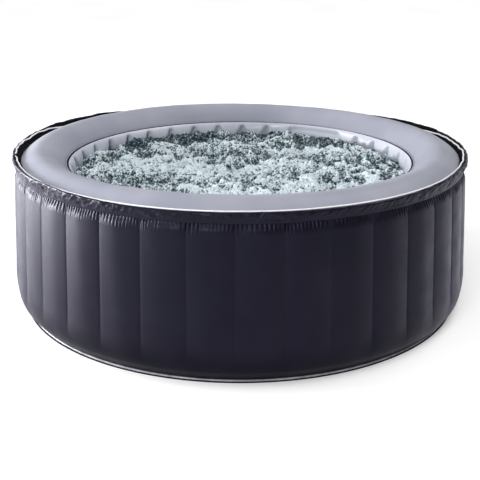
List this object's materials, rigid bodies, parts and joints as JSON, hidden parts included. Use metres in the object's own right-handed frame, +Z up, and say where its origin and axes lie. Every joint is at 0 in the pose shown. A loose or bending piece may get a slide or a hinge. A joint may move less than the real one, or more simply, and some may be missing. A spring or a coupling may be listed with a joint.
{
  "type": "inflatable hot tub",
  "caption": "Round inflatable hot tub with a crowned silver rim, a quilted dark wall, an open bathing space and a pump, heater and blower unit built into the wall.",
  "frame": {"origin": "on the ground, under the middle of the tub", "axes": "+Z up; the built-in unit stands at 60 degrees from +X towards +Y, and a web seam of the wall lies on each axis"},
  "size_m": [2.08, 2.08, 0.7002],
  "materials": {
    "rim_vinyl": "satin welded vinyl, lavender silver",
    "wall_laminate": "coated woven laminate, dark navy charcoal",
    "white_cord": "satin vinyl piping",
    "grey_cord": "satin vinyl piping",
    "web_cloth": "coated web cloth",
    "black_moulding": "fine textured moulding",
    "grey_moulding": "satin moulding",
    "pale_moulding": "satin pale moulding",
    "motor_steel": "bright motor can and heater tube",
    "circuit_board": "solder resist",
    "filter_paper": "pleated filter fleece",
    "lens": "smoked lens",
    "seal_rubber": "soft seal rubber"
  },
  "bodies": {
    "tub": {"top_rim": "rim_vinyl", "inner_wall": "rim_vinyl", "outer_wall": "wall_laminate", "hem_band": "wall_laminate", "rim_piping": "white_cord", "inner_welt": "rim_vinyl", "base_ring": "wall_laminate", "base_piping": "grey_cord", "floor_sheet": "rim_vinyl", "bubble_channel": "rim_vinyl", "web_set_1": "web_cloth", "web_set_2": "web_cloth", "web_set_3": "web_cloth", "web_set_4": "web_cloth", "web_set_5": "web_cloth", "unit_housing": "black_moulding", "unit_bezel": "black_moulding", "access_cover": "black_moulding", "cover_screw_1": "motor_steel", "cover_screw_2": "motor_steel", "cover_screw_3": "motor_steel", "cover_screw_4": "motor_steel", "power_gland": "black_moulding", "control_fascia": "grey_moulding", "display_lens": "lens", "control_board": "circuit_board", "pump_cover": "grey_moulding", "pump_volute": "grey_moulding", "pump_motor": "motor_steel", "heater_tube": "motor_steel", "return_pipe": "grey_moulding", "blower_housing": "black_moulding", "blower_motor": "motor_steel", "air_riser_pipe": "grey_moulding", "check_valve_body": "grey_moulding", "air_drop_pipe": "grey_moulding", "suction_fitting": "pale_moulding", "suction_nut": "pale_moulding", "filter_cartridge": "filter_paper", "return_fitting": "pale_moulding", "return_nut": "pale_moulding", "nozzle_ring": "pale_moulding", "air_valve_body": "black_moulding", "drain_body": "grey_moulding", "drain_nut": "grey_moulding"},
    "air_valve_stem": {"air_valve_stem": "pale_moulding"},
    "air_valve_cap": {"air_valve_cap": "black_moulding"},
    "drain_plug": {"drain_plug": "seal_rubber"},
    "drain_cap": {"drain_cap": "grey_moulding"},
    "pump_impeller": {"pump_impeller": "black_moulding"},
    "blower_impeller": {"blower_impeller": "grey_moulding"},
    "check_valve_flap": {"check_valve_flap": "seal_rubber"},
    "filter_cover": {"filter_cover": "pale_moulding"},
    "return_nozzle": {"return_nozzle": "pale_moulding"},
    "power_button": {"power_button": "pale_moulding"},
    "heat_button": {"heat_button": "pale_moulding"},
    "bubble_button": {"bubble_button": "pale_moulding"},
    "filter_button": {"filter_button": "pale_moulding"},
    "warmer_button": {"warmer_button": "pale_moulding"},
    "cooler_button": {"cooler_button": "pale_moulding"}
  },
  "joints": [
    {"name": "air_valve_press", "type": "slide", "parent": "tub", "child": "air_valve_stem", "axis": [-0.7071, -0.7071, 0], "range_m": [0, 0.005], "stiffness_N_per_m": 300},
    {"name": "air_valve_cap_turn", "type": "hinge", "parent": "tub", "child": "air_valve_cap", "pos_m": [0.71559, 0.71559, 0.48], "axis": [0.7071, 0.7071, 0], "range_deg": [0, 90]},
    {"name": "drain_plug_pull", "type": "slide", "parent": "tub", "child": "drain_plug", "axis": [-0.8192, -0.5736, 0], "range_m": [0, 0.03]},
    {"name": "drain_cap_turn", "type": "hinge", "parent": "tub", "child": "drain_cap", "pos_m": [0.82734, 0.57931, 0.045], "axis": [0.8192, 0.5736, 0], "range_deg": [0, 90]},
    {"name": "pump_spin", "type": "hinge", "parent": "tub", "child": "pump_impeller", "pos_m": [0.4582, 0.69363, 0.2], "axis": [0.5, 0.866, 0], "continuous": true},
    {"name": "blower_spin", "type": "hinge", "parent": "tub", "child": "blower_impeller", "pos_m": [0.38294, 0.78327, 0.17], "axis": [0.5, 0.866, 0], "continuous": true},
    {"name": "check_flap_lift", "type": "hinge", "parent": "tub", "child": "check_valve_flap", "pos_m": [0.36498, 0.79317, 0.3863], "axis": [0.5, 0.866, 0], "range_deg": [0, 60]},
    {"name": "filter_cover_turn", "type": "hinge", "parent": "tub", "child": "filter_cover", "pos_m": [0.4082, 0.60702, 0.2], "axis": [0.5, 0.866, 0], "range_deg": [0, 30]},
    {"name": "return_nozzle_swivel", "type": "hinge", "parent": "tub", "child": "return_nozzle", "pos_m": [0.33189, 0.69485, 0.305], "axis": [0, 0, 1], "range_deg": [-15, 15]},
    {"name": "power_button_press", "type": "slide", "parent": "tub", "child": "power_button", "axis": [-0.5, -0.866, 0], "range_m": [0, 0.001], "stiffness_N_per_m": 800},
    {"name": "heat_button_press", "type": "slide", "parent": "tub", "child": "heat_button", "axis": [-0.5, -0.866, 0], "range_m": [0, 0.001], "stiffness_N_per_m": 800},
    {"name": "bubble_button_press", "type": "slide", "parent": "tub", "child": "bubble_button", "axis": [-0.5, -0.866, 0], "range_m": [0, 0.001], "stiffness_N_per_m": 800},
    {"name": "filter_button_press", "type": "slide", "parent": "tub", "child": "filter_button", "axis": [-0.5, -0.866, 0], "range_m": [0, 0.001], "stiffness_N_per_m": 800},
    {"name": "warmer_button_press", "type": "slide", "parent": "tub", "child": "warmer_button", "axis": [-0.5, -0.866, 0], "range_m": [0, 0.001], "stiffness_N_per_m": 800},
    {"name": "cooler_button_press", "type": "slide", "parent": "tub", "child": "cooler_button", "axis": [-0.5, -0.866, 0], "range_m": [0, 0.001], "stiffness_N_per_m": 800}
  ]
}
